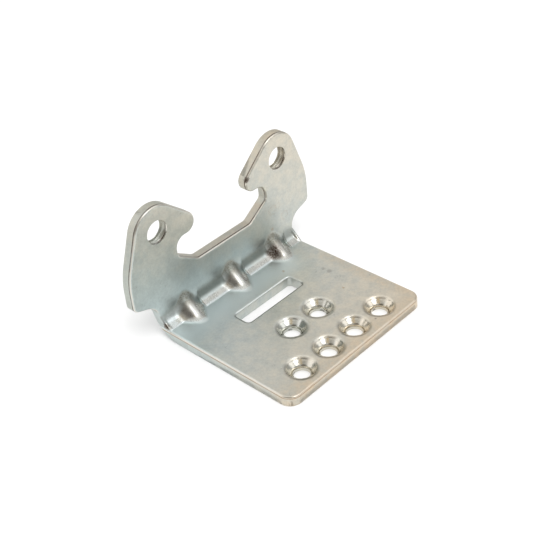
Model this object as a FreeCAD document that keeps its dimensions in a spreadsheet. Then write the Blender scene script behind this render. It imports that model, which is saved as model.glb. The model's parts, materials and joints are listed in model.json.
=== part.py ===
import FreeCAD, Part
import math
import os
import Sketcher

# Refrigerator hinge bracket: one stamped sheet of steel, bent once.
# Frame: X along the bend, +Y towards the upright, +Z up. The underside lies on z = 0,
# and the origin is the middle of the footprint.

SIZES = [
    ("sheet_thickness", 3.0, "steel sheet"),
    ("base_width", 53.2, "base plate along the bend"),
    ("base_depth", 50.0, "front edge to the back of the upright"),
    ("base_corner_radius", 3.5, "the two front corners"),
    ("bend_outer_radius", 9.5, "outside of the bend"),
    ("bend_flat_leg", 3.4, "leg of the flat pressed into the inside of the bend"),
    ("bend_relief_radius", 6.0, "free bend left round each gusset"),
    ("middle_height", 16.4, "top edge between the ears, above the underside"),
    ("ear_hole_height", 31.7, "tapped holes above the underside"),
    ("ear_hole_spacing", 45.3, "between the two tapped holes"),
    ("ear_hole_diameter", 6.7, "tapping bore of an M8 thread"),
    ("ear_top_radius", 7.5, "round the tapped hole"),
    ("ear_overhang", 7.55, "outer edge of an ear past the side of the base"),
    ("ear_nose_radius", 3.1, "rounded nose over the throat"),
    ("ear_nose_place", 12.9, "nose centre from the centre plane"),
    ("ear_side_height", 22.0, "where the leaning side meets the upright outer edge"),
    ("ear_side_radius", 24.0, "blend between those two"),
    ("ear_foot_angle", 17.8, "slope of the underside of an ear"),
    ("ear_foot_height", 13.7, "centre of the lower outer corner"),
    ("ear_foot_radius", 2.0, "lower outer corner of an ear"),
    ("neck_radius", 4.5, "between ear and base"),
    ("throat_depth", 4.05, "deepest edge of the throat beyond the nose centre"),
    ("throat_rise", 9.6, "roof of the throat above the middle edge"),
    ("throat_radius", 3.05, "upper corner of the throat"),
    ("ramp_start", 9.5, "end of the straight middle edge, from the centre plane"),
    ("ramp_angle", 33.0, "slope of the ramp"),
    ("ramp_foot_radius", 2.0, "ramp into the middle edge"),
    ("ramp_top_radius", 1.5, "ramp into the throat"),
    ("slot_length", 22.0, "slot along the bend"),
    ("slot_width", 5.5, "slot across"),
    ("slot_corner_radius", 1.2, "slot corners"),
    ("slot_place", 17.9, "slot centre from the back of the upright"),
    ("screw_pitch", 10.5, "between screw holes along a row"),
    ("screw_row_spacing", 12.8, "between the two rows"),
    ("screw_edge_distance", 6.3, "front row from the front edge"),
    ("screw_hole_diameter", 4.6, "clearance for a 4 mm wood screw"),
    ("countersink_diameter", 8.2, "cone at the top face, before its rim is rounded"),
    ("countersink_angle", 90.0, "whole angle of the cone"),
    ("countersink_rim_radius", 1.0, "soft rim that the coining left"),
    ("gusset_pitch", 17.5, "between gussets"),
    ("gusset_leg", 6.6, "crest of a gusset along the base and up the wall"),
    ("gusset_width", 8.6, "foot of a gusset"),
    ("gusset_crest_radius", 4.0, "rounded crest"),
    ("gusset_relief_width", 9.6, "gap in the pressed flat round a gusset"),
    ("root_depth", 0.6, "how deep the profile of a pressed form is set into the sheet"),
    ("edge_radius", 0.6, "rolled edge that the blanking left on the front and top faces"),
    ("slot_edge_radius", 0.3, "rolled edge of the slot"),
]
FRONT_ROW = (-1.5, -0.5, 0.5, 1.5)
BACK_ROW = (-0.5, 0.5)
GUSSETS = 3
PAST = 5.0  # how far a cutting profile runs past the sheet
ACROSS_CORNER = 135.0  # degrees about X, from the base plate round to the line that halves the bend
NEAR = 1e-4

doc = FreeCAD.newDocument("hinge_bracket")
sheet = doc.addObject("Spreadsheet::Sheet", "Sizes")
for row, (alias, value, note) in enumerate(SIZES, start=1):
    sheet.set(f"A{row}", str(value))
    sheet.setAlias(f"A{row}", alias)
    sheet.set(f"B{row}", note)
doc.recompute()
size = {alias: float(getattr(sheet, alias)) for alias, _, _ in SIZES}

body = doc.addObject("PartDesign::Body", "Bracket")
body.Label = "hinge_bracket"
body.Placement = FreeCAD.Placement()


def origin_feature(role):
    return next(f for f in body.Origin.OriginFeatures if f.Role == role)


def sketch_on(name, role, offset=FreeCAD.Placement()):
    sketch = body.newObject("Sketcher::SketchObject", name)
    sketch.AttachmentSupport = [(origin_feature(role), "")]
    sketch.MapMode = "FlatFace"
    sketch.AttachmentOffset = offset
    return sketch


def tie(sketch, expression, *constraint):
    """Adds one driving constraint and binds it to the sheet."""
    index = sketch.addConstraint(Sketcher.Constraint(*constraint))
    name = f"d{index}"
    sketch.renameConstraint(index, name)
    sketch.setExpression(f"Constraints.{name}", expression)


def corner_arc(before, corner, after, radius):
    """Where the arc that rounds a corner meets the run before it, its middle, and the run after."""
    to_before = (before - corner).normalize()
    to_after = (after - corner).normalize()
    half = to_before.getAngle(to_after) / 2
    back = radius / math.tan(half)
    inward = (to_before + to_after).normalize()
    middle = corner + inward * (radius / math.sin(half) - radius)
    return corner + to_before * back, middle, corner + to_after * back


def rounded_loop(sketch, corners):
    """Closed outline of straight runs and tangent arcs. Each corner is (name, x, y, radius).
    Returns the index of each run, named after the corner it leaves, and of each arc."""
    points = [FreeCAD.Vector(x, y, 0) for _, x, y, _ in corners]
    count = len(corners)
    ends = []
    for i, (_, _, _, radius) in enumerate(corners):
        if radius:
            ends.append(corner_arc(points[i - 1], points[i], points[(i + 1) % count], radius))
        else:
            ends.append((points[i], None, points[i]))
    run, arc = {}, {}
    for i, (name, _, _, _) in enumerate(corners):
        line = Part.LineSegment(ends[i][2], ends[(i + 1) % count][0])
        run[name] = sketch.addGeometry(line, False)
    for i, (name, _, _, radius) in enumerate(corners):
        arriving, leaving = run[corners[i - 1][0]], run[name]
        if not radius:
            sketch.addConstraint(Sketcher.Constraint("Coincident", arriving, 2, leaving, 1))
            continue
        start, middle, end = ends[i]
        first, last = 1, 2
        if (points[i] - start).cross(end - points[i]).z < 0:
            # a sketch keeps its arcs counterclockwise
            start, end = end, start
            first, last = 2, 1
        arc[name] = sketch.addGeometry(Part.Arc(start, middle, end), False)
        sketch.addConstraint(Sketcher.Constraint("Tangent", arriving, 2, arc[name], first))
        sketch.addConstraint(Sketcher.Constraint("Tangent", leaving, 1, arc[name], last))
    return run, arc


def level(sketch, *lines):
    for line in lines:
        sketch.addConstraint(Sketcher.Constraint("Horizontal", line))


def upright(sketch, *lines):
    for line in lines:
        sketch.addConstraint(Sketcher.Constraint("Vertical", line))


def feature(kind, name, sketch):
    made = body.newObject(kind, name)
    made.Profile = sketch
    return made


def done(step):
    """Recomputes and stops if a feature has failed."""
    doc.recompute()
    bad = [o.Name for o in doc.Objects if "Invalid" in o.State or "Error" in o.State]
    if bad or body.Shape.isNull() or not body.Shape.isValid():
        raise RuntimeError(f"{step}: {bad or 'invalid shape'}")
    print(f"{step}: {body.Shape.Volume:.1f} mm3")


# Section across the bend, as the press leaves it: flat plate, bend, flat upright.
half_depth = size["base_depth"] / 2
thick = size["sheet_thickness"]
top = size["ear_hole_height"] + size["ear_top_radius"]
inner = half_depth - thick
leg = size["bend_flat_leg"]
section = sketch_on("Section", "YZ_Plane")
run, arc = rounded_loop(section, [
    ("underside", -half_depth, 0, 0),
    ("back", half_depth, 0, size["bend_outer_radius"]),
    ("upper_edge", half_depth, top, 0),
    ("wall", inner, top, 0),
    ("flat", inner, thick + leg, 0),
    ("top_face", inner - leg, thick, 0),
    ("front_edge", -half_depth, thick, 0),
])
level(section, run["underside"], run["upper_edge"], run["top_face"])
upright(section, run["back"], run["wall"], run["front_edge"])
section.addConstraint(Sketcher.Constraint("PointOnObject", run["underside"], 1, -1))
tie(section, "-Sizes.base_depth / 2", "DistanceX", -1, 1, run["underside"], 1, -half_depth)
tie(section, "Sizes.base_depth / 2", "DistanceX", -1, 1, run["back"], 2, half_depth)
tie(section, "Sizes.bend_outer_radius", "Radius", arc["back"], size["bend_outer_radius"])
tie(section, "Sizes.ear_hole_height + Sizes.ear_top_radius", "DistanceY", -1, 1, run["back"], 2, top)
tie(section, "Sizes.sheet_thickness", "DistanceX", run["wall"], 1, run["back"], 2, thick)
tie(section, "Sizes.sheet_thickness", "DistanceY", -1, 1, run["top_face"], 1, thick)
tie(section, "Sizes.bend_flat_leg", "DistanceX", run["flat"], 2, run["flat"], 1, leg)
tie(section, "Sizes.bend_flat_leg", "DistanceY", run["flat"], 2, run["flat"], 1, leg)
plate = feature("PartDesign::Pad", "Plate", section)
plate.SideType = "Symmetric"
plate.setExpression("Length", "Sizes.base_width + 2 * Sizes.ear_overhang")
done("bent plate")


# Outline of one half as seen from the front: middle edge, ramp, throat, nose, crown round the
# tapped hole, leaning side, foot, neck and the side of the base. What lies outside it goes.
def crossing(point, angle, other, other_angle):
    """Where two straight runs meet, each given by a point and its heading in degrees."""
    a, b = math.radians(angle), math.radians(other_angle)
    gap = other - point
    along = (gap.x * math.sin(b) - gap.y * math.cos(b)) / math.sin(b - a)
    return point + FreeCAD.Vector(math.cos(a), math.sin(a), 0) * along


def off_centre(centre, radius, angle):
    return centre + FreeCAD.Vector(math.cos(math.radians(angle)), math.sin(math.radians(angle)), 0) * radius


half_width = size["base_width"] / 2
reach = half_width + size["ear_overhang"]
middle = FreeCAD.Vector(0, size["middle_height"], 0)
ramp_foot = size["ramp_start"] + size["ramp_foot_radius"] * math.tan(math.radians(size["ramp_angle"] / 2))
ramp_foot = FreeCAD.Vector(ramp_foot, middle.y, 0)
throat_side = FreeCAD.Vector(size["ear_nose_place"] + size["throat_depth"], 0, 0)
throat_roof = FreeCAD.Vector(0, size["middle_height"] + size["throat_rise"], 0)
nose = FreeCAD.Vector(size["ear_nose_place"], throat_roof.y + size["ear_nose_radius"], 0)
eye = FreeCAD.Vector(size["ear_hole_spacing"] / 2, size["ear_hole_height"], 0)
apart = eye - nose
growth = (size["ear_top_radius"] - size["ear_nose_radius"]) / apart.Length
brow_angle = math.degrees(math.atan2(apart.y, apart.x) + math.asin(growth))
brow = off_centre(nose, size["ear_nose_radius"], brow_angle + 90)
side_end = FreeCAD.Vector(reach, size["ear_side_height"], 0)
apart = side_end - eye
lean = math.degrees(math.atan2(apart.y, apart.x) + math.acos(size["ear_top_radius"] / apart.Length))
side = off_centre(eye, size["ear_top_radius"], lean)
foot_heading = size["ear_foot_angle"] - 180
foot_half = math.radians(90 + size["ear_foot_angle"]) / 2
outer = FreeCAD.Vector(reach, size["ear_foot_height"] - size["ear_foot_radius"] / math.tan(foot_half), 0)
ramp_top = crossing(ramp_foot, size["ramp_angle"], throat_side, 90)
nose_tip = crossing(throat_roof, 0, brow, brow_angle)
crown = crossing(brow, brow_angle, side, lean - 90)
neck = crossing(outer, foot_heading, FreeCAD.Vector(half_width, 0, 0), 90)

outline = sketch_on("Outline", "XZ_Plane")
run, arc = rounded_loop(outline, [
    ("middle", 0, middle.y, 0),
    ("ramp", ramp_foot.x, ramp_foot.y, size["ramp_foot_radius"]),
    ("throat", ramp_top.x, ramp_top.y, size["ramp_top_radius"]),
    ("roof", throat_side.x, throat_roof.y, size["throat_radius"]),
    ("brow", nose_tip.x, nose_tip.y, size["ear_nose_radius"]),
    ("side", crown.x, crown.y, size["ear_top_radius"]),
    ("outer", side_end.x, side_end.y, size["ear_side_radius"]),
    ("foot", outer.x, outer.y, size["ear_foot_radius"]),
    ("neck", neck.x, neck.y, size["neck_radius"]),
    ("below", half_width, -PAST, 0),
    ("outside", reach + PAST, -PAST, 0),
    ("above", reach + PAST, top + PAST, 0),
    ("centre", 0, top + PAST, 0),
])
level(outline, run["middle"], run["roof"], run["below"], run["above"])
upright(outline, run["throat"], run["outer"], run["neck"], run["outside"])
outline.addConstraint(Sketcher.Constraint("PointOnObject", run["middle"], 1, -2))
outline.addConstraint(Sketcher.Constraint("PointOnObject", run["above"], 2, -2))
for name, alias in (("ramp", "ramp_foot_radius"), ("throat", "ramp_top_radius"), ("roof", "throat_radius"),
                    ("brow", "ear_nose_radius"), ("side", "ear_top_radius"), ("outer", "ear_side_radius"),
                    ("foot", "ear_foot_radius"), ("neck", "neck_radius")):
    tie(outline, f"Sizes.{alias}", "Radius", arc[name], size[alias])
tie(outline, "Sizes.middle_height", "DistanceY", -1, 1, run["middle"], 1, middle.y)
tie(outline, "Sizes.ramp_start", "DistanceX", -1, 1, run["middle"], 2, size["ramp_start"])
tie(outline, "Sizes.throat_depth", "DistanceX", arc["brow"], 3, run["throat"], 1, size["throat_depth"])
tie(outline, "Sizes.throat_rise", "DistanceY", run["middle"], 1, run["roof"], 1, size["throat_rise"])
tie(outline, "Sizes.ear_nose_place", "DistanceX", -1, 1, arc["brow"], 3, nose.x)
tie(outline, "Sizes.ear_hole_spacing / 2", "DistanceX", -1, 1, arc["side"], 3, eye.x)
tie(outline, "Sizes.ear_hole_height", "DistanceY", -1, 1, arc["side"], 3, eye.y)
corner = outline.addGeometry(Part.Point(side_end), True)
outline.addConstraint(Sketcher.Constraint("PointOnObject", corner, 1, run["side"]))
outline.addConstraint(Sketcher.Constraint("PointOnObject", corner, 1, run["outer"]))
tie(outline, "Sizes.base_width / 2 + Sizes.ear_overhang", "DistanceX", -1, 1, corner, 1, reach)
tie(outline, "Sizes.ear_side_height", "DistanceY", -1, 1, corner, 1, size["ear_side_height"])
tie(outline, "Sizes.ear_foot_height", "DistanceY", -1, 1, arc["foot"], 3, size["ear_foot_height"])
tie(outline, "Sizes.base_width / 2", "DistanceX", -1, 1, run["neck"], 2, half_width)
tie(outline, "Sizes.ramp_angle * 1 deg", "Angle", run["ramp"], math.radians(size["ramp_angle"]))
tie(outline, "(Sizes.ear_foot_angle - 180) * 1 deg", "Angle", run["foot"], math.radians(foot_heading))
tie(outline, f"-{PAST}", "DistanceY", -1, 1, run["below"], 1, -PAST)
tie(outline, f"Sizes.base_width / 2 + Sizes.ear_overhang + {PAST}", "DistanceX",
    -1, 1, run["outside"], 1, reach + PAST)
tie(outline, f"Sizes.ear_hole_height + Sizes.ear_top_radius + {PAST}", "DistanceY",
    -1, 1, run["above"], 1, top + PAST)
half_blank = feature("PartDesign::Pocket", "HalfOutline", outline)
half_blank.Type = "ThroughAll"
half_blank.SideType = "Symmetric"
done("outline of one half")


# Tapped hole in the middle of the crown, bored to the thread's root.
def circle_at(sketch, x_rule, x, y_rule, y, diameter):
    circle = sketch.addGeometry(Part.Circle(FreeCAD.Vector(x, y, 0), FreeCAD.Vector(0, 0, 1),
                                            size[diameter] / 2), False)
    tie(sketch, f"Sizes.{diameter}", "Diameter", circle, size[diameter])
    tie(sketch, x_rule, "DistanceX", -1, 1, circle, 3, x)
    tie(sketch, y_rule, "DistanceY", -1, 1, circle, 3, y)


bore = sketch_on("EarBore", "XZ_Plane")
circle_at(bore, "Sizes.ear_hole_spacing / 2", eye.x, "Sizes.ear_hole_height", eye.y, "ear_hole_diameter")
ear_hole = feature("PartDesign::Pocket", "EarHole", bore)
ear_hole.Type = "ThroughAll"
ear_hole.SideType = "Symmetric"
done("tapped hole")
other_half = body.newObject("PartDesign::Mirrored", "OtherHalf")
other_half.Originals = [half_blank, ear_hole]
other_half.MirrorPlane = (origin_feature("YZ_Plane"), [""])
body.Tip = other_half
done("both halves")

# Front corners of the base plate.
corners = [f"Edge{i}" for i, edge in enumerate(body.Shape.Edges, start=1)
           if edge.BoundBox.XLength < NEAR and edge.BoundBox.YLength < NEAR
           and abs(edge.CenterOfMass.y + half_depth) < NEAR]
front_corners = body.newObject("PartDesign::Fillet", "FrontCorners")
front_corners.Base = (other_half, corners)
front_corners.setExpression("Radius", "Sizes.base_corner_radius")
done("front corners")

# Slot through the base plate, beside the bend.
slot_y = half_depth - size["slot_place"]
slot_x, slot_half = size["slot_length"] / 2, size["slot_width"] / 2
slot = sketch_on("Slot", "XY_Plane")
run, arc = rounded_loop(slot, [
    (name, sx * slot_x, slot_y + sy * slot_half, size["slot_corner_radius"])
    for name, sx, sy in (("front", -1, -1), ("right", 1, -1), ("back", 1, 1), ("left", -1, 1))
])
level(slot, run["front"], run["back"])
upright(slot, run["right"], run["left"])
for name in ("front", "right", "back", "left"):
    tie(slot, "Sizes.slot_corner_radius", "Radius", arc[name], size["slot_corner_radius"])
place = "Sizes.base_depth / 2 - Sizes.slot_place"
tie(slot, "-Sizes.slot_length / 2", "DistanceX", -1, 1, run["left"], 1, -slot_x)
tie(slot, "Sizes.slot_length / 2", "DistanceX", -1, 1, run["right"], 1, slot_x)
tie(slot, f"{place} - Sizes.slot_width / 2", "DistanceY", -1, 1, run["front"], 1, slot_y - slot_half)
tie(slot, f"{place} + Sizes.slot_width / 2", "DistanceY", -1, 1, run["back"], 1, slot_y + slot_half)
slot_cut = feature("PartDesign::Pocket", "SlotCut", slot)
slot_cut.Type = "ThroughAll"
slot_cut.SideType = "Symmetric"
done("slot")

# Six countersunk screw holes: a long front row and a short back row on the same pitch.
front_row_y = size["screw_edge_distance"] - half_depth
screws = sketch_on("ScrewHoles", "XY_Plane")
screws.setExpression(".AttachmentOffset.Base.z", "Sizes.sheet_thickness")
for row, places in enumerate((FRONT_ROW, BACK_ROW)):
    for step in places:
        circle_at(screws, f"{step} * Sizes.screw_pitch", step * size["screw_pitch"],
                  f"Sizes.screw_edge_distance - Sizes.base_depth / 2 + {row} * Sizes.screw_row_spacing",
                  front_row_y + row * size["screw_row_spacing"], "screw_hole_diameter")
doc.recompute()
drilled = feature("PartDesign::Hole", "Countersinks", screws)
doc.recompute()
drilled.ThreadType = "None"
drilled.DepthType = "ThroughAll"
drilled.HoleCutType = "Countersink"
drilled.HoleCutCustomValues = True
drilled.setExpression("Diameter", "Sizes.screw_hole_diameter")
drilled.setExpression("HoleCutDiameter", "Sizes.countersink_diameter")
drilled.setExpression("HoleCutCountersinkAngle", "Sizes.countersink_angle * 1 deg")
done("screw holes")

# Gussets. Round each one the bend keeps its free radius, the ridge stands across the corner,
# and the same ridge moved out by the sheet's thickness is the dent behind it.
relief_radius = size["bend_relief_radius"]
root = size["root_depth"]
relief = sketch_on("BendRelief", "YZ_Plane")
relief.setExpression(".AttachmentOffset.Base.z", "-Sizes.gusset_pitch")
run, arc = rounded_loop(relief, [
    ("wall", inner, thick + relief_radius + root, 0),
    ("floor", inner, thick, relief_radius),
    ("front", inner - relief_radius - root, thick, 0),
    ("under", inner - relief_radius - root, thick - root, 0),
    ("heel", inner - leg / 2, thick - root, 0),
    ("back", inner + root, thick + leg / 2, 0),
    ("over", inner + root, thick + relief_radius + root, 0),
])
level(relief, run["floor"], run["under"], run["over"])
upright(relief, run["wall"], run["front"], run["back"])
reach_rule = "Sizes.bend_relief_radius + Sizes.root_depth"
tie(relief, "Sizes.bend_relief_radius", "Radius", arc["floor"], relief_radius)
tie(relief, "Sizes.base_depth / 2 - Sizes.sheet_thickness", "DistanceX", -1, 1, run["wall"], 1, inner)
tie(relief, "Sizes.sheet_thickness", "DistanceY", -1, 1, run["floor"], 2, thick)
tie(relief, reach_rule, "DistanceX", run["floor"], 2, run["wall"], 1, relief_radius + root)
tie(relief, reach_rule, "DistanceY", run["floor"], 2, run["wall"], 1, relief_radius + root)
tie(relief, "Sizes.root_depth", "DistanceY", run["under"], 1, run["floor"], 2, root)
tie(relief, "Sizes.root_depth", "DistanceX", run["wall"], 1, run["back"], 2, root)
tie(relief, "Sizes.bend_flat_leg / 2", "DistanceX", run["heel"], 1, run["wall"], 1, leg / 2)
tie(relief, "Sizes.bend_flat_leg / 2", "DistanceY", run["floor"], 2, run["back"], 1, leg / 2)
relief_pad = feature("PartDesign::Pad", "Relief", relief)
relief_pad.SideType = "Symmetric"
relief_pad.setExpression("Length", "Sizes.gusset_relief_width")
done("free bend round a gusset")


def ridge_section(name, sunk_rule, sunk, depth_rule, depth):
    """Section of a gusset across the corner, with its foot level with the pressed flat."""
    tilt = FreeCAD.Rotation(FreeCAD.Vector(1, 0, 0), ACROSS_CORNER)
    offset = FreeCAD.Placement(FreeCAD.Vector(-size["gusset_pitch"], inner, thick), tilt)
    sketch = sketch_on(name, "XY_Plane", offset)
    sketch.setExpression(".AttachmentOffset.Base.x", "-Sizes.gusset_pitch")
    sketch.setExpression(".AttachmentOffset.Base.y", "Sizes.base_depth / 2 - Sizes.sheet_thickness")
    sketch.setExpression(".AttachmentOffset.Base.z", "Sizes.sheet_thickness")
    radius = size["gusset_crest_radius"]
    half = size["gusset_width"] / 2
    foot = size["bend_flat_leg"] / math.sqrt(2) - sunk
    centre = size["gusset_leg"] / math.sqrt(2) - sunk - radius
    rise = math.atan2(centre - foot, half) + math.asin(radius / math.hypot(half, centre - foot))
    run, arc = rounded_loop(sketch, [
        ("rising", -half, foot, 0),
        ("falling", 0, foot + half * math.tan(rise), radius),
        ("right", half, foot, 0),
        ("low", half, foot - depth, 0),
        ("left", -half, foot - depth, 0),
    ])
    level(sketch, run["low"])
    upright(sketch, run["right"], run["left"])
    foot_rule = f"Sizes.bend_flat_leg / sqrt(2) - {sunk_rule}"
    centre_rule = f"Sizes.gusset_leg / sqrt(2) - Sizes.gusset_crest_radius - {sunk_rule}"
    tie(sketch, "Sizes.gusset_crest_radius", "Radius", arc["falling"], radius)
    sketch.addConstraint(Sketcher.Constraint("PointOnObject", arc["falling"], 3, -2))
    tie(sketch, centre_rule, "DistanceY", -1, 1, arc["falling"], 3, centre)
    tie(sketch, "-Sizes.gusset_width / 2", "DistanceX", -1, 1, run["rising"], 1, -half)
    tie(sketch, "Sizes.gusset_width / 2", "DistanceX", -1, 1, run["right"], 1, half)
    tie(sketch, foot_rule, "DistanceY", -1, 1, run["rising"], 1, foot)
    tie(sketch, foot_rule, "DistanceY", -1, 1, run["right"], 1, foot)
    tie(sketch, depth_rule, "DistanceY", run["low"], 1, run["right"], 1, depth)
    return sketch


ridge = ridge_section("Ridge", "0", 0, "Sizes.root_depth", root)
ridge_pad = feature("PartDesign::Pad", "Gusset", ridge)
ridge_pad.SideType = "Symmetric"
ridge_pad.setExpression("Length", "sqrt(2) * Sizes.gusset_leg + Sizes.root_depth")
done("gusset")
dent = ridge_section("Dent", "Sizes.sheet_thickness", thick, "2 * Sizes.sheet_thickness", 2 * thick)
dent_cut = feature("PartDesign::Pocket", "DentCut", dent)
dent_cut.Type = "ThroughAll"
dent_cut.SideType = "Symmetric"
done("dent behind the gusset")
gussets = body.newObject("PartDesign::LinearPattern", "Gussets")
gussets.Originals = [relief_pad, ridge_pad, dent_cut]
gussets.Direction = (origin_feature("X_Axis"), [""])
gussets.Occurrences = GUSSETS
gussets.setExpression("Length", f"{GUSSETS - 1} * Sizes.gusset_pitch")
body.Tip = gussets
done("gussets")


# Rolled edges that the punches left on the front and top faces.
def flat_at(low, high, value):
    return abs(low - value) < NEAR and abs(high - value) < NEAR


def round_of(edge, radius):
    return edge.Curve.TypeId == "Part::GeomCircle" and abs(edge.Curve.Radius - radius) < NEAR


def on_outline(edge):
    """Edges where the inside of the angle (upright, pressed flat or base) meets the blanked side."""
    box = edge.BoundBox
    middle_x = abs(edge.CenterOfMass.x)
    at_side = middle_x > half_width - NEAR
    if flat_at(box.YMin, box.YMax, inner):
        in_bend = not at_side and box.ZMax < thick + size["gusset_leg"] + root
        return not in_bend and not round_of(edge, size["ear_hole_diameter"] / 2)
    if flat_at(box.ZMin, box.ZMax, thick):
        return at_side or box.YMax < NEAR - half_depth or round_of(edge, size["base_corner_radius"])
    slope = (box.YMin - (inner - leg)) - (box.ZMin - thick)
    on_flat = abs(slope) < NEAR and box.YMax < inner + NEAR and box.ZMin > thick - NEAR
    return at_side and on_flat


def on_slot(edge):
    box = edge.BoundBox
    beside = abs(edge.CenterOfMass.y - slot_y) < slot_half + NEAR
    within = max(box.XMax, -box.XMin) < slot_x + NEAR
    return flat_at(box.ZMin, box.ZMax, thick) and beside and within


def on_countersink(edge):
    box = edge.BoundBox
    return flat_at(box.ZMin, box.ZMax, thick) and round_of(edge, size["countersink_diameter"] / 2)


def rolled_edge(name, base, chosen, alias):
    edges = [f"Edge{i}" for i, edge in enumerate(base.Shape.Edges, start=1) if chosen(edge)]
    rolled = body.newObject("PartDesign::Fillet", name)
    rolled.Base = (base, edges)
    rolled.setExpression("Radius", f"Sizes.{alias}")
    done(name)
    return rolled


outline_edge = rolled_edge("RolledOutline", gussets, on_outline, "edge_radius")
slot_edge = rolled_edge("RolledSlot", outline_edge, on_slot, "slot_edge_radius")
rolled_edge("RolledCountersinks", slot_edge, on_countersink, "countersink_rim_radius")

loose = [sketch.Name for sketch in doc.findObjects("Sketcher::SketchObject") if not sketch.FullyConstrained]
if loose or len(body.Shape.Solids) != 1:
    raise RuntimeError(f"loose sketches {loose}, {len(body.Shape.Solids)} solids")
os.makedirs("parts", exist_ok=True)
body.Shape.exportStep("parts/hinge_bracket.step")
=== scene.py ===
import json
import math
import bmesh
import bpy
import numpy as np
from mathutils import Matrix, Vector


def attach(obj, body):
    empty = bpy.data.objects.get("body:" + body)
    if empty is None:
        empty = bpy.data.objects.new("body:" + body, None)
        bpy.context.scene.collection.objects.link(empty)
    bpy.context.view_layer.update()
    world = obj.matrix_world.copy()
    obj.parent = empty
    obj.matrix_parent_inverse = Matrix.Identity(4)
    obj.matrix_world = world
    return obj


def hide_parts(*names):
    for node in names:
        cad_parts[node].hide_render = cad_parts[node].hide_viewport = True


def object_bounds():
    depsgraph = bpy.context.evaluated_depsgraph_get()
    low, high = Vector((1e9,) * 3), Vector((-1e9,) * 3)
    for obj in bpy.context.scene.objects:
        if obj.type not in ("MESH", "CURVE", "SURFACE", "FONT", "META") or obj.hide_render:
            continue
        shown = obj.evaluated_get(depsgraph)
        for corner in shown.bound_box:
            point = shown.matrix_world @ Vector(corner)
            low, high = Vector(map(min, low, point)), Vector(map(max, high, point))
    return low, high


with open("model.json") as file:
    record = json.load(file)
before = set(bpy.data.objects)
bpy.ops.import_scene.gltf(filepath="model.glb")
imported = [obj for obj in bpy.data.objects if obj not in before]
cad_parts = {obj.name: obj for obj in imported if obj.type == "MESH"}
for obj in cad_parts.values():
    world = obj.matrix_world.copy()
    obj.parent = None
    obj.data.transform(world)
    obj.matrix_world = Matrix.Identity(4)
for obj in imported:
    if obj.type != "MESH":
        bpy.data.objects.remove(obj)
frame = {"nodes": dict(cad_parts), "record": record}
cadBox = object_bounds()
print("frame loaded")

mm = 0.001
mounts = {mount["name"]: mount for mount in frame["record"]["mounts"]}


def linear(hexColour):  # sRGB hex to the linear values that a shader wants
    channels = [int(hexColour[i:i + 2], 16) / 255 for i in (0, 2, 4)]
    return [c / 12.92 if c <= 0.04045 else ((c + 0.055) / 1.055) ** 2.4 for c in channels] + [1.0]


def addNode(tree, kind, links=None, out=None, **settings):
    # one node with its settings and what feeds each input; gives the node, or the output that is asked for
    node = tree.nodes.new(kind)
    for name, value in settings.items():
        setattr(node, name, value)
    for socket, source in (links or {}).items():
        if isinstance(source, bpy.types.NodeSocket):
            tree.links.new(source, node.inputs[socket])
        else:
            node.inputs[socket].default_value = source
    return node if out is None else node.outputs[out]


# Camera, at the angle from which such parts are photographed for a catalogue.
cameraView = {
    "azimuth": -43.5528,
    "elevation": 35.8936,
    "roll": -5.853,
    "target": (10.0463, 16.2114, 3.0),
    "distance": 306.847,
    "lens": 71.879,
    "sensor": 36.0,
}


def makeCamera(view):
    azimuth = math.radians(view["azimuth"])
    elevation = math.radians(view["elevation"])
    roll = math.radians(view["roll"])
    back = Vector((math.sin(azimuth) * math.cos(elevation), -math.cos(azimuth) * math.cos(elevation),
                   math.sin(elevation)))
    right = Vector((math.cos(azimuth), math.sin(azimuth), 0))
    up = back.cross(right)
    across = right * math.cos(roll) + up * math.sin(roll)
    upright = up * math.cos(roll) - right * math.sin(roll)
    data = bpy.data.cameras.new("camera")
    data.sensor_width = view["sensor"]
    data.lens = view["lens"]
    data.clip_start = 0.01
    data.clip_end = 20
    camera = bpy.data.objects.new("camera", data)
    bpy.context.scene.collection.objects.link(camera)
    place = Vector(view["target"]) * mm + back * view["distance"] * mm
    turn = Matrix((across, upright, back)).transposed()
    camera.matrix_world = Matrix.Translation(place) @ turn.to_4x4()
    bpy.context.scene.camera = camera


makeCamera(cameraView)
print("camera placed")


# Bracket: one sheet of steel, folded once, with three stiffening gussets pressed across the fold.
# Sizes are in millimetres. The fold is seen from a hub line in front of it, so that each point of the
# pressed surface is one distance from the hub, for a place along the fold and an angle down from the wall.
fold = {
    "reach": 8.6,  # from the inside corner to where the pressing ends
    "freeRadius": 1.2,  # inside radius beside a gusset, where the punch leaves no flat
    "outerRadius": 9.5,
    "flatLeg": 3.4,  # where the pressed flat leaves the base; at 45 degrees at the ends of the fold
    "flatRise": 1.96,  # where its slope would meet the wall, about 30 degrees
    "flatBlend": 2.5,  # softness of the flat's upper edge
    "sideMargin": 0.7,  # plain stretch at each end, with the rolled rim beside it
    "endFade": 0.7,
    "halfWidth": 26.6,
    "gussets": (-17.5, 0.0, 17.5),
    "freeAfter": 4.8,  # free fold beside a gusset, to its right
    "gussetRadius": 2.6,
    "flankAngle": 44,
    "baseLeg": 6.6,
    "wallLeg": 5.7,
    "softWall": 1.3,  # softness of a gusset's foot on the wall, on the base and behind
    "softBase": 1.5,
    "softBehind": 1.2,
    "softTurn": 60,  # angle from which the foot has the softness of the base
    "grid": 0.3,
    "crisp": 0.02,  # width of a sharp step
    "weld": 0.002,
    "crack": 0.02,  # the widest gap that a border may leave before it is closed
    "sharpFrom": 35,
}
thread = {
    "pitch": 1.25,
    "depth": 0.6,
    "steepness": 1.5,
    "runOut": 0.3,
    "rounds": 96,
    "rings": 36,
    "tolerance": 0.02,
}
earHoles = [mounts["left_ear_thread"], mounts["right_ear_thread"]]
sheet = earHoles[0]["dims"]["length_mm"]
backFace = cadBox[1].y / mm
wallFace = backFace - sheet


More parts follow.
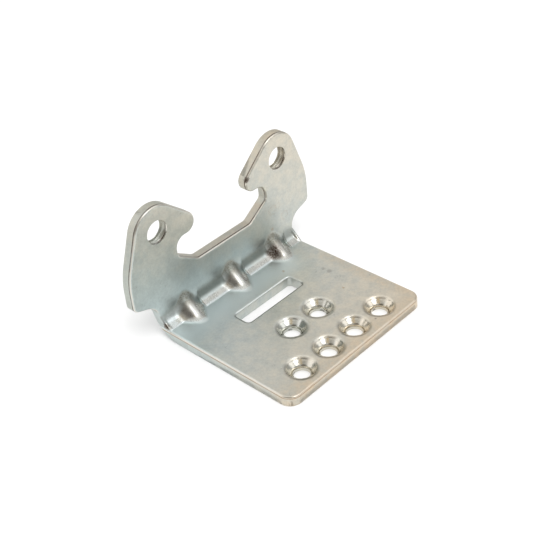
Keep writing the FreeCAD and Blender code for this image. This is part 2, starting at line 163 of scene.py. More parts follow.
def roundedCorner(reach, radius, angle):  # distance to two planes at a right angle with a round between them
    cos, sin = np.cos(angle), np.sin(angle)
    plane = reach / np.maximum(cos, sin)
    centre = reach - radius
    inArc = reach * np.minimum(cos, sin) > centre * np.maximum(cos, sin)
    root = np.maximum(centre ** 2 * ((cos + sin) ** 2 - 2) + radius ** 2, 0)
    return np.where(inArc, centre * (cos + sin) + np.sqrt(root), plane)


def softMin(a, b, width):
    share = np.clip(0.5 + 0.5 * (b - a) / width, 0, 1)
    return b * (1 - share) + a * share - width * share * (1 - share)


def smoothStep(t):
    t = np.clip(t, 0, 1)
    return t * t * (3 - 2 * t)


def gussetDistance(x, angle, behind):  # a round-nosed ridge across the corner, or the dent behind it
    reach, radius = fold["reach"], fold["gussetRadius"]
    along, up = 1 / fold["baseLeg"], 1 / fold["wallLeg"]
    height = 1 / math.hypot(along, up)
    far = math.sin(math.radians(fold["flankAngle"])) * radius
    inner = np.minimum(np.abs(x), far)
    drop = radius - np.sqrt(radius ** 2 - inner ** 2)
    drop = drop + (np.abs(x) - inner) * far / math.sqrt(radius ** 2 - far ** 2)
    level = 1 - (drop + behind) / height
    return (reach * (along + up) - level) / (np.cos(angle) * along + np.sin(angle) * up)


def foldInside(x, angle):
    reach = fold["reach"]
    cos, sin = np.cos(angle), np.sin(angle)
    free = roundedCorner(reach, fold["freeRadius"], angle)
    leg, rise = fold["flatLeg"], fold["flatRise"]
    plain = np.minimum(reach / np.maximum(cos, sin), (2 * reach - leg) / (cos + sin))
    flat = (rise * (reach - leg) + leg * reach) / (rise * cos + leg * sin)
    least = 0.01  # so that nothing is divided by zero where the view runs along a plane
    wall = reach / np.maximum(cos, least)
    base = reach / np.maximum(sin, least)
    form = np.minimum(softMin(wall, flat, fold["flatBlend"]), base)
    for place in fold["gussets"]:
        form = np.where((x > place) & (x < place + fold["freeAfter"]), free, form)
    edge = fold["halfWidth"] - fold["sideMargin"]
    form = form + (plain - form) * smoothStep((np.abs(x) - edge + fold["endFade"]) / fold["endFade"])
    turn = smoothStep(angle / math.radians(fold["softTurn"]))
    soft = fold["softWall"] + (fold["softBase"] - fold["softWall"]) * turn
    for place in fold["gussets"]:
        form = softMin(form, gussetDistance(x - place, angle, 0), soft)
    return form


def foldBehind(x, angle):
    form = roundedCorner(fold["reach"] + sheet, fold["outerRadius"], angle)
    for place in fold["gussets"]:
        form = softMin(form, gussetDistance(x - place, angle, sheet), fold["softBehind"])
    return form


def gridValues(stops, step, extra):  # even steps between the stops, moved aside for the extra values
    values = list(stops)
    for value in sorted(extra):
        if min(abs(v - value) for v in values) > 1e-6:
            values.append(value)
    fixed = len(values)
    for low, high in zip(stops, stops[1:]):
        count = max(1, math.ceil((high - low) / step - 0.001))
        even = [low + (high - low) * i / count for i in range(1, count)]
        values += [value for value in even if min(abs(v - value) for v in values[:fixed]) > step / 4]
    return np.array(sorted(values))


def inOrder(form, parts):  # a set has no order of its own, and each run has to give the same mesh
    for kind in (form.verts, form.edges, form.faces):
        kind.index_update()
    return sorted(parts, key=lambda part: part.index)


def addGrid(form, points, closed=False):  # faces over rows of points; returns the grid's border vertices
    rows = [[form.verts.new(point) for point in row] for row in points]
    for low, high in zip(rows, rows[1:]):
        pairs = list(zip(low, low[1:], high, high[1:]))
        if closed:
            pairs.append((low[-1], low[0], high[-1], high[0]))
        for a, b, c, d in pairs:
            form.faces.new((a, b, d, c))
    border = rows[0] + rows[-1]
    return border if closed else border + [row[i] for row in rows[1:-1] for i in (0, -1)]


def joinBorder(form, border, rim, tolerance=0.003):
    # splits the rim's edges where the border's vertices meet them
    splits = {}
    for vert in border:
        best = None
        for edge in rim:
            a, b = (v.co for v in edge.verts)
            along = b - a
            share = max(0.0, min(1.0, (vert.co - a).dot(along) / along.length_squared))
            gap = (vert.co - a - along * share).length
            if best is None or gap < best[0]:
                best = (gap, edge, share, along.length)
        gap, edge, share, length = best
        ends = edge.verts
        if share * length < tolerance:
            vert.co = ends[0].co
        elif (1 - share) * length < tolerance:
            vert.co = ends[1].co
        else:
            splits.setdefault(edge, []).append((share, vert))
    for edge, marks in splits.items():
        start, end = edge.verts
        a, b = start.co.copy(), end.co.copy()
        done = 0.0
        for share, vert in sorted(marks, key=lambda mark: mark[0]):
            if (share - done) * (b - a).length > tolerance / 10:
                piece, point = bmesh.utils.edge_split(edge, start, (share - done) / (1 - done))
                point.co = a + (b - a) * share
                edge = next(e for e in point.link_edges if end in e.verts)
                start = point
                done = share
            vert.co = start.co


def cutOut(form, seed, isRim):  # removes the faces round the seed, up to the rim; returns the rim's edges
    found, front = {seed}, [seed]
    rim = set()
    while front:
        for edge in front.pop().edges:
            if isRim(edge):
                rim.add(edge)
                continue
            for face in edge.link_faces:
                if face not in found:
                    found.add(face)
                    front.append(face)
    rim = inOrder(form, rim)
    bmesh.ops.delete(form, geom=inOrder(form, found), context="FACES")
    return [edge for edge in rim if edge.is_valid]


def pressFold(form):
    reach = fold["reach"]
    edge = fold["halfWidth"] - fold["sideMargin"]
    hub = (wallFace - reach, sheet + reach)
    cuts = [((0, 0, hub[1]), (0, 0, 1)), ((0, hub[0], 0), (0, 1, 0)), ((-edge, 0, 0), (1, 0, 0)),
            ((edge, 0, 0), (1, 0, 0))]
    for place, normal in cuts:
        geometry = list(form.verts) + list(form.edges) + list(form.faces)
        bmesh.ops.bisect_plane(form, geom=geometry, dist=1e-5, plane_co=place, plane_no=normal)

    def isRim(link):
        a, b = (v.co for v in link.verts)
        return any(abs(Vector(normal).dot(a - Vector(place))) < 1e-4
                   and abs(Vector(normal).dot(b - Vector(place))) < 1e-4 for place, normal in cuts)

    stepsX = {-edge, edge, -edge + fold["endFade"], edge - fold["endFade"]}
    for place in fold["gussets"]:
        step = place + fold["freeAfter"]
        stepsX |= {step - fold["crisp"] / 2, step + fold["crisp"] / 2}
    bottom = math.atan2(reach, reach - fold["flatLeg"])
    middle = math.radians(45)
    inside = (foldInside, [0, math.pi / 2 - bottom, middle, bottom, math.pi / 2])
    behind = (foldBehind, [0, math.pi / 2])
    form.faces.ensure_lookup_table()
    aim = Vector((0, math.sqrt(0.5), -math.sqrt(0.5)))  # from the hub to the corner
    for (shape, stepsAngle), outward in ((inside, -1), (behind, 1)):
        target = Vector((0, hub[0], hub[1])) + aim * float(shape(np.array([0.0]), np.array([middle]))[0])
        facing = [f for f in form.faces if f.normal.dot(aim) * outward > 0.3]
        facing = [f for f in facing if abs(f.calc_center_median().x) < 10]
        seed = min(facing, key=lambda f: (f.calc_center_median() - target).length)
        rim = cutOut(form, seed, isRim)
        corners = [v.co for v in {v for e in rim for v in e.verts}]
        angles = [math.atan2(hub[1] - co.z, co.y - hub[0]) for co in corners if abs(abs(co.x) - edge) < 1e-3]
        places = [co.x for co in corners if abs(abs(co.x) - edge) > 1e-3]
        xs = gridValues(sorted(stepsX), fold["grid"], places)
        turns = gridValues(stepsAngle, fold["grid"] / (reach * 1.2), angles)
        distance = shape(*np.meshgrid(xs, turns))
        points = [[(x, hub[0] + r * math.cos(turn), hub[1] - r * math.sin(turn)) for x, r in zip(xs, row)]
                  for turn, row in zip(turns, distance)]
        joinBorder(form, addGrid(form, points), rim)


def cutThread(form, hole):
    centre = Vector(hole["pos_m"]) / mm
    radius = hole["dims"]["r_mm"]

    def onBore(vert):
        return abs(math.hypot(vert.co.x - centre.x, vert.co.z - centre.z) - radius) < thread["tolerance"]

    form.faces.ensure_lookup_table()
    wall = [f for f in form.faces if abs(f.normal.y) < 0.1 and all(onBore(v) for v in f.verts)]
    rim = [e for f in wall for e in f.edges if abs(e.verts[0].co.y - e.verts[1].co.y) < 1e-4]
    rim = [e for e in inOrder(form, set(rim))
           if min(abs(e.verts[0].co.y - y) for y in (wallFace, backFace)) < 1e-3]
    turns = [math.atan2(v.co.z - centre.z, v.co.x - centre.x) for e in rim for v in e.verts]
    bmesh.ops.delete(form, geom=wall, context="FACES")
    step = 2 * math.pi / thread["rounds"]
    angles = gridValues([-math.pi, math.pi], step, turns)[:-1]
    points = []
    for i in range(thread["rings"] + 1):
        y = wallFace + sheet * i / thread["rings"]
        room = smoothStep(min(y - wallFace, backFace - y) / thread["runOut"])
        phase = (y / thread["pitch"] + angles / (2 * math.pi)) % 1
        groove = np.clip(0.5 + thread["steepness"] * (0.5 - np.abs(phase * 2 - 1)), 0, 1)
        cut = radius + thread["depth"] * room * groove
        points.append([(centre.x + r * math.cos(a), y, centre.z + r * math.sin(a))
                       for a, r in zip(angles, cut)])
    joinBorder(form, addGrid(form, points, closed=True), rim)


def bracketMesh():
    form = bmesh.new()
    form.from_mesh(frame["nodes"]["hinge_bracket"].data)
    bmesh.ops.scale(form, vec=(1 / mm,) * 3, verts=form.verts)
    bmesh.ops.remove_doubles(form, verts=form.verts, dist=fold["weld"])
    pressFold(form)
    print("fold pressed")
    for hole in earHoles:
        cutThread(form, hole)
    bmesh.ops.remove_doubles(form, verts=form.verts, dist=fold["weld"])
    loose = inOrder(form, {vert for edge in form.edges if edge.is_boundary for vert in edge.verts})
    bmesh.ops.remove_doubles(form, verts=loose, dist=fold["crack"])
    cracks = [edge for edge in form.edges if edge.is_boundary]  # hair-thin ones along the borders
    bmesh.ops.holes_fill(form, edges=cracks, sides=0)
    bmesh.ops.recalc_face_normals(form, faces=form.faces)
    print("threads cut;", sum(not e.is_manifold for e in form.edges), "open edges,", len(form.faces), "faces")
    bmesh.ops.scale(form, vec=(mm,) * 3, verts=form.verts)
    mesh = bpy.data.meshes.new("bracket")
    form.to_mesh(mesh)
    form.free()
    return mesh


# Bright zinc plating on pressed steel: electroplated, then passivated, so it is a satin metal with a faint
# mottle, bluish where the bath ran thin and straw-coloured towards the free edges, with brown residue
# where the bath dried in creases and a thin brown line along the rolled rim. Painted shade lies deep in
# the fold, on the middle wall and on the gussets, and painted highlights lie on the rolled rims and at the
# left end of the fold.
# A step is a measure in mm with its values at no and at full effect, and the levels there if not 0 and 1.
# The measures are x, y, z, side (distance from the middle), depth (behind the wall's face), below (the base's
# face), rise (up the fold, along its 45 degree line), the three patterns, and the masks made so far.
zinc = {
    "cool": "c9d1d0",
    "straw": "dfd6c6",
    "residue": "4a3428",
    "tan": "a88d70",
    "sheared": "f8f4ee",
    "pressed": "d2cec7",
    # burnish, lighter as a painted highlight
    "burnishedHighlight": "dedbcf",
    # painted shade for the middle wall
    "shaded": "dfe2e2",
    "foot": "e2eaeb",  # bluish, lighter tint on the base in front of the fold
    # painted shade deep in the fold
    "foldShade": "b4b8b5",
    # painted highlight on the rolled rims
    "edgeHighlight": "ece4d8",
    "crown": "fbf4f0",  # sheared top between the ears, duller than the ears' own edges
    # painted shade for the gussets' upper part
    "arch": "b2ada3",
    "amber": "b08a4a",
    "warm": "fdf2e6",
    # size in mm, detail and roughness: cloudy patches of the passivation, grain of the plating and specks,
    # the last two coarser than on real plating so that they show
    "patterns": {"cloud": (3.5, 4.0, 0.6), "grain": (0.7, 3.0, 0.7), "specks": (0.45, 2.0, 0.8)},
    "strawPerMm": (0.008, -0.022, 0.018),
    "strawPatches": [("cloud", 0.35, 0.65, 0.26, 0.48)],
    "mottle": [("cloud", 0.3, 0.7, 0.94, 1.06), ("grain", 0.3, 0.7, -0.06, 0.06)],
    # painted highlight: the pressed flat is lighter towards the left end
    "burnishedHighlightEnd": [("x", -19.0, -22.5)],
    "burnishing": 0.6,
    "besideGusset": ((-3.0, -3.4), (4.6, 5.0)),  # where the flat begins, to the left and right of a crest
    # residue and painted shade on each gusset's left flank
    "stainAndShadeSpot": (-2.1, -2.6, 1.7),  # from the inside corner under a crest
    "stainAndShadeSize": (3.5, 1.1),
    "stainAndShadeLevels": (0.3, 0.25, 1.0),  # from the left gusset to the right one
    "patchy": [("cloud", 0.3, 0.6, 0.6, 1.0)],
    # how the steps of each mask are joined, and its steps
    "masks": {
        "pressed": ("MULTIPLY", [("below", -0.05, -0.3), ("y", 15.0, 15.5), ("y", 20.8, 20.0)]),
        "shaded": ("MULTIPLY", [("z", 6.5, 9.5), ("side", 23.0, 16.0), ("y", 21.9, 22.0), ("z", 22.0, 17.0),
                                ("y", 22.5, 22.3)]),
        "foot": ("MULTIPLY", [("y", 7.0, 15.5), ("below", -0.5, -0.1), ("below", 0.2, 0.05),
                              ("x", 22.0, 14.0)]),
        # painted shade: the corner of the fold, away from the gussets
        "foldShade": ("MULTIPLY", ["flats", ("rise", 2.4, 4.6), ("rise", 9.0, 4.8), ("y", 19.5, 20.0),
                              ("x", -21.0, -19.0, 0.1, 1.0), ("x", 21.0, 22.0, 1.0, 0.5), ("y", 22.3, 22.1)]),
        "stain": ("MULTIPLY", ["stained", ("specks", 0.36, 0.62, 0.45, 1.0)]),
        "crest": ("MULTIPLY", [("z", 5.6, 7.4), ("y", 17.0, 19.0)]),
        "archShade": ("MULTIPLY", ["crest", ("specks", 0.38, 0.58, 1.0, 0.6), ("y", 22.05, 21.8)]),
        "arch": ("MULTIPLY", ["crest", ("y", 21.8, 21.5)]),
        "upright": ("MULTIPLY", [("below", -4.5, -6.0)]),
        "outer": ("MAXIMUM", [("side", 25.2, 25.4), ("y", -23.4, -23.6)]),
        "inner": ("MINIMUM", [("side", 25.4, 25.2), ("y", -23.6, -23.4)]),
        "face": ("MULTIPLY", ["upright", ("depth", 0.6, 0.8)]),
        "crown": ("MULTIPLY", ["face", ("z", 26.5, 25.5), ("side", 16.0, 15.0)]),
        "rimBand": ("MULTIPLY", ["upright", ("depth", 0.07, 0.17, 0.0, 0.65), ("depth", 0.43, 0.33)]),
        "baseBand": ("MULTIPLY", ["outer", ("below", 0.07, 0.17, 0.0, 0.65), ("below", 0.55, 0.45)]),
        "rimLine": ("MULTIPLY", ["patchy", "upright", ("depth", 0.37, 0.53), ("depth", 0.83, 0.67)]),
        "baseLine": ("MULTIPLY", ["patchy", "outer", ("below", 0.42, 0.58), ("below", 0.83, 0.67)]),
        "freeEdge": ("MAXIMUM", [("y", -17.5, -24.5), ("x", 21.0, 26.0)]),
        "warm": ("MULTIPLY", ["freeEdge", ("cloud", 0.3, 0.65, 0.2, 0.75), ("y", 14.0, 6.0)]),
        "bored": ("MULTIPLY", ["nearBore", ("depth", 0.02, 0.1)]),
        "countersunk": ("MULTIPLY", ["inner", ("below", 0.05, 0.4), ("y", 4.0, 2.0)]),
        "machined": ("MAXIMUM", ["bored", "countersunk"]),
    },
    # tints laid over one another: mask, colour and blending
    "tints": [
        ("shaded", "shaded", "MULTIPLY"),  # painted shade: the middle wall between the gussets is darkened
        ("foot", "foot", "MIX"),
        ("foldShade", "foldShade", "MULTIPLY"),  # painted shade deep in the fold, away from the gussets; the same mask makes it rougher
        ("stain", "residue", "MIX"),  # mottled residue on the left flank of each gusset, deepened into painted shade
        ("archShade", "arch", "MULTIPLY"),  # painted shade on the upper part of the gussets, with specks; the arch mask also makes it rougher
        ("face", "sheared", "MULTIPLY"),
        ("crown", "crown", "MULTIPLY"),
        ("rimBand", "edgeHighlight", "MIX"),  # rolled rim: a painted highlight as a light band, then a thin brown line at the sheared edge
        # the same painted highlight along the base's outer edge
        ("baseBand", "edgeHighlight", "MIX"),
        ("rimLine", "residue", "MIX"),
        ("baseLine", "tan", "MIX"),
        ("warm", "warm", "MULTIPLY"),
    ],
    # spots, most of them of handling and of the bath, and rings where drops dried: centre, radius, width of
    # the ring (0 for a spot), colour and strength
    "marks": [
        ((10.5, 22.3, 30.6), 1.1, 0, "residue", 0.85),
        ((10.3, 22.8, 31.9), 0.8, 0, "residue", 0.7),
        # a light spot here and a dark one two lines down, at the left end of the fold
        ((-24.2, 20.2, 4.2), 2.4, 0, "foot", 0.8),
        ((-34.2, 22.3, 23.0), 0.5, 0, "residue", 0.6),
        ((-26.6, 20.0, 4.2), 1.4, 0, "residue", 0.8),
        ((18.9, 22.0, 16.3), 1.4, 0.2, "tan", 0.3),
        ((21.1, 22.0, 16.8), 0.9, 0.15, "tan", 0.25),
        ((23.6, 22.0, 12.4), 1.3, 0.2, "tan", 0.3),
        ((18.2, 22.0, 10.3), 0.8, 0, "tan", 0.4),
        ((19.6, 4.4, 3.0), 0.8, 0, "residue", 0.25),
        ((19.8, 2.4, 3.0), 1.0, 0, "residue", 0.3),
        ((11.9, 12.7, 3.0), 0.6, 0, "amber", 0.4),
        ((16.2, -5.8, 3.0), 0.5, 0, "amber", 0.5),
        ((10.9, -21.3, 3.0), 0.4, 0, "residue", 0.5),
        ((23.6, 8.9, 3.0), 0.9, 0, "straw", 0.5),
    ],
    "markEdge": 0.3,  # raggedness of a mark, and how solid its middle is, as shares of its radius
    # the middle level is the usual roughness of bright zinc; then what each mask adds to it
    "polish": [("cloud", 0.3, 0.7, 0.30, 0.38), ("grain", 0.3, 0.7, -0.03, 0.03)],
    "roughening": {"machined": -0.14, "stain": 0.25, "face": 0.18, "foldShade": 0.2, "arch": 0.2,
                   "pressed": -0.07},
    # the press drew the sheet a little way down round each countersink: rows, radii and depth in mm
    "screwRows": [(-18.7, (-15.75, -5.25, 5.25, 15.75)), (-5.9, (-5.25, 5.25))],
    "drawnIn": [("screw", 3.6, 5.1, -0.42, 0.0)],
    # piercing rolled the slot's mouth over as well, by less
    "slotRow": 7.1,
    "slotSize": (22.0, 5.5),
    "slotCorner": 1.2,
    "slotMouth": (0.2, 0.5, 0.2),  # from and to, outside the slot, and depth
    "grainBump": (0.35, 0.03),  # strength, and height in mm
}


def joinSteps(tree, measures, steps, joining="MULTIPLY"):  # one soft mask or level from its steps
    whole = None
    for step in steps:
        if isinstance(step, str):
            part = measures[step]
        else:
            name, start, end, *levels = step
            low, high = levels or (0.0, 1.0)
            limits = {0: measures[name], 1: start, 2: end, 3: low, 4: high}
            part = addNode(tree, "ShaderNodeMapRange", limits, 0, interpolation_type="SMOOTHSTEP")
        if whole is None:
            whole = part
        else:
            whole = addNode(tree, "ShaderNodeMath", {0: whole, 1: part}, 0, operation=joining)
    return whole


def leastDistance(tree, place, centres):
    least = None
    for centre in centres:
        ends = {0: place, 1: Vector(centre)}
        gap = addNode(tree, "ShaderNodeVectorMath", ends, "Value", operation="DISTANCE")
        if least is None:
            least = gap
        else:
            least = addNode(tree, "ShaderNodeMath", {0: least, 1: gap}, 0, operation="MINIMUM")
    return least


def takeMeasures(tree):  # sockets that give each measure in mm, and the masks
    place = addNode(tree, "ShaderNodeTexCoord", out="Object")
    place = addNode(tree, "ShaderNodeVectorMath", {0: place, "Scale": 1 / mm}, "Vector", operation="SCALE")
    axes = addNode(tree, "ShaderNodeSeparateXYZ", {0: place}).outputs
    measures = {"place": place, "x": axes[0], "y": axes[1], "z": axes[2]}
    measures["side"] = addNode(tree, "ShaderNodeMath", {0: axes[0]}, 0, operation="ABSOLUTE")
    measures["depth"] = addNode(tree, "ShaderNodeMath", {0: axes[1], 1: wallFace}, 0, operation="SUBTRACT")
    measures["below"] = addNode(tree, "ShaderNodeMath", {0: sheet, 1: axes[2]}, 0, operation="SUBTRACT")
    measures["rise"] = addNode(tree, "ShaderNodeMath", {0: axes[2], 1: measures["depth"]}, 0, operation="ADD")
    for name, (size, detail, roughness) in zinc["patterns"].items():
        settings = {"Vector": place, "Scale": 1 / size, "Detail": detail, "Roughness": roughness}
        measures[name] = addNode(tree, "ShaderNodeTexNoise", settings, "Fac")

    strengths = []
    flats = []
    for crest, strength in zip(fold["gussets"], zinc["stainAndShadeLevels"]):
        spot = Vector((crest, wallFace, sheet)) + Vector(zinc["stainAndShadeSpot"])
        measures[f"spot{crest}"] = leastDistance(tree, place, [spot])
        strengths.append((f"spot{crest}", *zinc["stainAndShadeSize"], 0.0, strength))
        sides = [("x", crest + start, crest + end) for start, end in zinc["besideGusset"]]
        measures[f"beside{crest}"] = joinSteps(tree, measures, sides, "MAXIMUM")
        flats.append(f"beside{crest}")
    measures["stained"] = joinSteps(tree, measures, strengths, "MAXIMUM")
    measures["flats"] = joinSteps(tree, measures, flats)
    measures["patchy"] = joinSteps(tree, measures, zinc["patchy"])

    acrossWall = addNode(tree, "ShaderNodeCombineXYZ", {0: axes[0], 2: axes[2]}, 0)
    centres = [(hole["pos_m"][0] / mm, 0, hole["pos_m"][2] / mm) for hole in earHoles]
    measures["bore"] = leastDistance(tree, acrossWall, centres)
    radius = earHoles[0]["dims"]["r_mm"]
    measures["nearBore"] = joinSteps(tree, measures, [("bore", radius + 1.0, radius + 0.8)])
    for name, (joining, steps) in zinc["masks"].items():
        measures[name] = joinSteps(tree, measures, steps, joining)
    return measures


def platingColour(tree, measures):
    patches = joinSteps(tree, measures, zinc["strawPatches"])
    share = addNode(tree, "ShaderNodeVectorMath", {0: measures["place"], 1: zinc["strawPerMm"]}, "Value",
                    operation="DOT_PRODUCT")
    share = addNode(tree, "ShaderNodeMath", {0: share, 1: patches}, 0, operation="ADD")
    colour = addNode(tree, "ShaderNodeMix", {0: share, 6: linear(zinc["cool"]), 7: linear(zinc["straw"])}, 2,
                     data_type="RGBA")
    mottle = joinSteps(tree, measures, zinc["mottle"], "ADD")
    mottle = addNode(tree, "ShaderNodeCombineXYZ", {0: mottle, 1: mottle, 2: mottle}, 0)
    colour = addNode(tree, "ShaderNodeMix", {0: 1.0, 6: colour, 7: mottle}, 2, data_type="RGBA",
                     blend_type="MULTIPLY")

    # The punch burnished what it pressed, so the plating is warmer there; towards the left end it is lighter,
    # a painted highlight.
    end = joinSteps(tree, measures, zinc["burnishedHighlightEnd"])
    tones = {0: end, 6: linear(zinc["pressed"]), 7: linear(zinc["burnishedHighlight"])}
    burnishAndHighlight = addNode(tree, "ShaderNodeMix", tones, 2, data_type="RGBA")
    burnishAndHighlight = addNode(tree, "ShaderNodeMix", {0: 1.0, 6: burnishAndHighlight, 7: mottle}, 2, data_type="RGBA",
                      blend_type="MULTIPLY")
    share = addNode(tree, "ShaderNodeMath", {0: measures["pressed"], 1: zinc["burnishing"]}, 0,
                    operation="MULTIPLY")
    colour = addNode(tree, "ShaderNodeMix", {0: share, 6: colour, 7: burnishAndHighlight}, 2, data_type="RGBA")

    for mask, tint, blending in zinc["tints"]:
        colour = addNode(tree, "ShaderNodeMix", {0: measures[mask], 6: colour, 7: linear(zinc[tint])}, 2,
                         data_type="RGBA", blend_type=blending)

    for centre, size, ring, tint, strength in zinc["marks"]:
        edge = zinc["markEdge"] * size
        measures["gap"] = leastDistance(tree, measures["place"], [centre])
        measures["gap"] = joinSteps(tree, measures, ["gap", ("specks", 0.3, 0.7, -edge, edge)], "ADD")
        if ring:
            steps = [("gap", size - ring * 1.5, size - ring * 0.5, 0.0, strength),
                     ("gap", size + ring * 0.5, size - ring * 0.5)]
        else:
            steps = [("gap", size, edge, 0.0, strength)]
        mark = joinSteps(tree, measures, steps)
        colour = addNode(tree, "ShaderNodeMix", {0: mark, 6: colour, 7: linear(zinc[tint])}, 2,
                         data_type="RGBA")
    return colour


def platingRoughness(tree, measures):
    rough = joinSteps(tree, measures, zinc["polish"], "ADD")
    for mask, amount in zinc["roughening"].items():
        rough = addNode(tree, "ShaderNodeMath", {0: measures[mask], 1: amount, 2: rough}, 0,
                        operation="MULTIPLY_ADD")
    return rough


def platingRelief(tree, measures):  # soft rims of the countersinks and of the slot, under the grain
    base = addNode(tree, "ShaderNodeCombineXYZ", {0: measures["x"], 1: measures["y"]}, 0)
    centres = [(column, row, 0) for row, columns in zinc["screwRows"] for column in columns]
    measures["screw"] = leastDistance(tree, base, centres)
    depth = joinSteps(tree, measures, zinc["drawnIn"])

    corner = zinc["slotCorner"]
    core = [length / 2 - corner for length in zinc["slotSize"]]
    middle = (0, zinc["slotRow"], 0)
    past = addNode(tree, "ShaderNodeVectorMath", {0: base, 1: middle}, 0, operation="SUBTRACT")
    past = addNode(tree, "ShaderNodeVectorMath", {0: past}, 0, operation="ABSOLUTE")
    past = addNode(tree, "ShaderNodeVectorMath", {0: past, 1: (*core, 0)}, 0, operation="SUBTRACT")
    past = addNode(tree, "ShaderNodeVectorMath", {0: past, 1: (0, 0, 0)}, 0, operation="MAXIMUM")
    past = addNode(tree, "ShaderNodeVectorMath", {0: past}, "Value", operation="LENGTH")
    inner, outer, drawn = zinc["slotMouth"]
    limits = {0: past, 1: corner + inner, 2: corner + outer, 3: -drawn, 4: 0.0}
    mouth = addNode(tree, "ShaderNodeMapRange", limits, 0)
    depth = addNode(tree, "ShaderNodeMath", {0: depth, 1: mouth}, 0, operation="ADD")
    rims = addNode(tree, "ShaderNodeBump", {"Height": depth, "Strength": 1.0, "Distance": mm}, 0)
    strength, height = zinc["grainBump"]
    return addNode(tree, "ShaderNodeBump", {"Height": measures["grain"], "Strength": strength,
                                            "Distance": height * mm, "Normal": rims}, 0)


def zincPlate():
    material = bpy.data.materials.new("brightZincPlatedSteel")
    material.use_nodes = True
    tree = material.node_tree
    shader = tree.nodes["Principled BSDF"]
    measures = takeMeasures(tree)
    tree.links.new(platingColour(tree, measures), shader.inputs["Base Color"])
    tree.links.new(platingRoughness(tree, measures), shader.inputs["Roughness"])
    tree.links.new(platingRelief(tree, measures), shader.inputs["Normal"])
    shader.inputs["Metallic"].default_value = 1.0
    return material


piece = bpy.data.objects.new("bracket", bracketMesh())
bpy.context.scene.collection.objects.link(piece)
for face in piece.data.polygons:
    face.use_smooth = True
piece.data.set_sharp_from_angle(angle=math.radians(fold["sharpFrom"]))
for edge in piece.data.edges:  # the mouths of the tapped holes stay crisp
    ends = [piece.data.vertices[v].co for v in edge.vertices]
    if all(min(abs(end.y - face * mm) for face in (wallFace, backFace)) < 0.001 * mm for end in ends):
        for hole in earHoles:
            centre = Vector(hole["pos_m"])
            reach = [math.hypot(end.x - centre.x, end.z - centre.z) for end in ends]
            if max(reach) < (hole["dims"]["r_mm"] + thread["tolerance"]) * mm:
                edge.use_edge_sharp = True
weighted = piece.modifiers.new("flatFaces", "WEIGHTED_NORMAL")
weighted.keep_sharp = True
weighted.weight = 100
piece.data.materials.clear()
piece.data.materials.append(zincPlate())
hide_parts("hinge_bracket")
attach(piece, "root")
print("bracket made")

# Studio: pale floor, soft lamp, white surroundings
studio = {
    "floorSize": 6.0,
    "floorGap": 0.00005,
    "floorColour": "fafafa",
    "floorMirrored": "ececea",
    "floorRoughness": 0.9,
    "light": "f4f4f4",
    "horizon": "a09e98",
    "tent": "bfc0bf",
    "ceiling": "fafaf8",
    "tentFrom": ("height", 0.0, 0.5),
    "ceilingFrom": ("height", 0.6, 0.95),
    # soft panels of the light tent: direction, half width of the core and of the whole in degrees, colour
    # and level
    "panels": [
        ((-0.50, 0.70, 0.45), 14, 40, "ffffff", 1.25),
        ((0.56, 0.59, 0.586), 12, 40, "e4e4e2", 1.0),
        ((0.56, -0.78, 0.28), 12, 30, "bebebb", 1.0),
        ((0.56, -0.585, 0.586), 8, 20, "ffffff", 1.4),
        ((0.05, -0.60, 0.78), 7, 16, "ffffff", 4.2),
        ((-0.42, -0.43, 0.80), 4, 12, "d8c4a0", 0.9),
        ((-0.85, -0.28, 0.38), 14, 32, "77726a", 1.0),
    ],
    # the overhead lamp only throws the soft shadow on the paper
    "lampPlace": (-0.2, -0.3, 0.9),
    "lampSize": 0.6,
    "lampPower": 4.0,
}


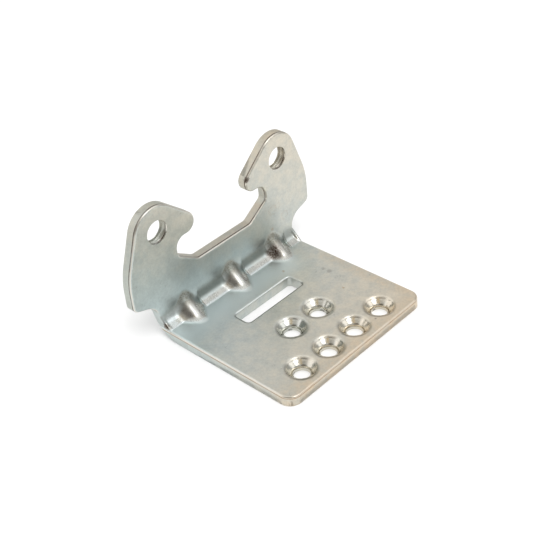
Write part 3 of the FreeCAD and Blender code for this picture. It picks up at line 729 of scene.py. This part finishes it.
def makeFloor(values):
    half = values["floorSize"] / 2
    mesh = bpy.data.meshes.new("floor")
    corners = [(-half, -half, 0), (half, -half, 0), (half, half, 0), (-half, half, 0)]
    mesh.from_pydata(corners, [], [(0, 1, 2, 3)])
    floor = bpy.data.objects.new("floor", mesh)
    floor.location.z = cadBox[0].z - values["floorGap"]
    bpy.context.scene.collection.objects.link(floor)
    material = bpy.data.materials.new("whitePaper")
    material.use_nodes = True
    tree = material.node_tree
    shader = tree.nodes["Principled BSDF"]
    mirrored = addNode(tree, "ShaderNodeLightPath", out="Is Glossy Ray")
    tones = {0: mirrored, 6: linear(values["floorColour"]), 7: linear(values["floorMirrored"])}
    tree.links.new(addNode(tree, "ShaderNodeMix", tones, 2, data_type="RGBA"), shader.inputs["Base Color"])
    shader.inputs["Roughness"].default_value = values["floorRoughness"]
    shader.inputs["Specular IOR Level"].default_value = 0.0
    mesh.materials.append(material)


def makeWorld(values):
    world = bpy.data.worlds.new("studio")
    world.use_nodes = True
    tree = world.node_tree
    rays = addNode(tree, "ShaderNodeLightPath").outputs
    aim = addNode(tree, "ShaderNodeTexCoord", out="Generated")
    aims = {"height": addNode(tree, "ShaderNodeSeparateXYZ", {0: aim}, 2)}
    layers = [(joinSteps(tree, aims, [values["tentFrom"]]), linear(values["tent"])),
              (joinSteps(tree, aims, [values["ceilingFrom"]]), linear(values["ceiling"]))]
    for direction, inner, outer, colour, level in values["panels"]:
        pair = {0: aim, 1: Vector(direction).normalized()}
        aims["facing"] = addNode(tree, "ShaderNodeVectorMath", pair, "Value", operation="DOT_PRODUCT")
        limits = (math.cos(math.radians(outer)), math.cos(math.radians(inner)))
        share = joinSteps(tree, aims, [("facing", *limits)])
        layers.append((share, [channel * level for channel in linear(colour)]))
    tone = linear(values["horizon"])
    for share, colour in layers:
        tone = addNode(tree, "ShaderNodeMix", {0: share, 6: tone, 7: colour}, 2, data_type="RGBA")
    seen = addNode(tree, "ShaderNodeMix", {0: rays["Is Glossy Ray"], 6: linear(values["light"]), 7: tone}, 2,
                   data_type="RGBA")
    seen = addNode(tree, "ShaderNodeMix", {0: rays["Is Camera Ray"], 6: seen, 7: linear("ffffff")}, 2,
                   data_type="RGBA")
    tree.links.new(seen, tree.nodes["Background"].inputs["Color"])
    bpy.context.scene.world = world


def hangLamp(values):
    data = bpy.data.lights.new("overhead", "AREA")
    data.size = values["lampSize"]
    data.energy = values["lampPower"]
    lamp = bpy.data.objects.new("overhead", data)
    lamp.location = values["lampPlace"]
    lamp.rotation_euler = (-Vector(values["lampPlace"])).to_track_quat("-Z", "Y").to_euler()
    lamp.visible_glossy = False
    bpy.context.scene.collection.objects.link(lamp)


makeFloor(studio)
makeWorld(studio)
hangLamp(studio)
bpy.context.scene.view_settings.view_transform = "Standard"
print("studio made")
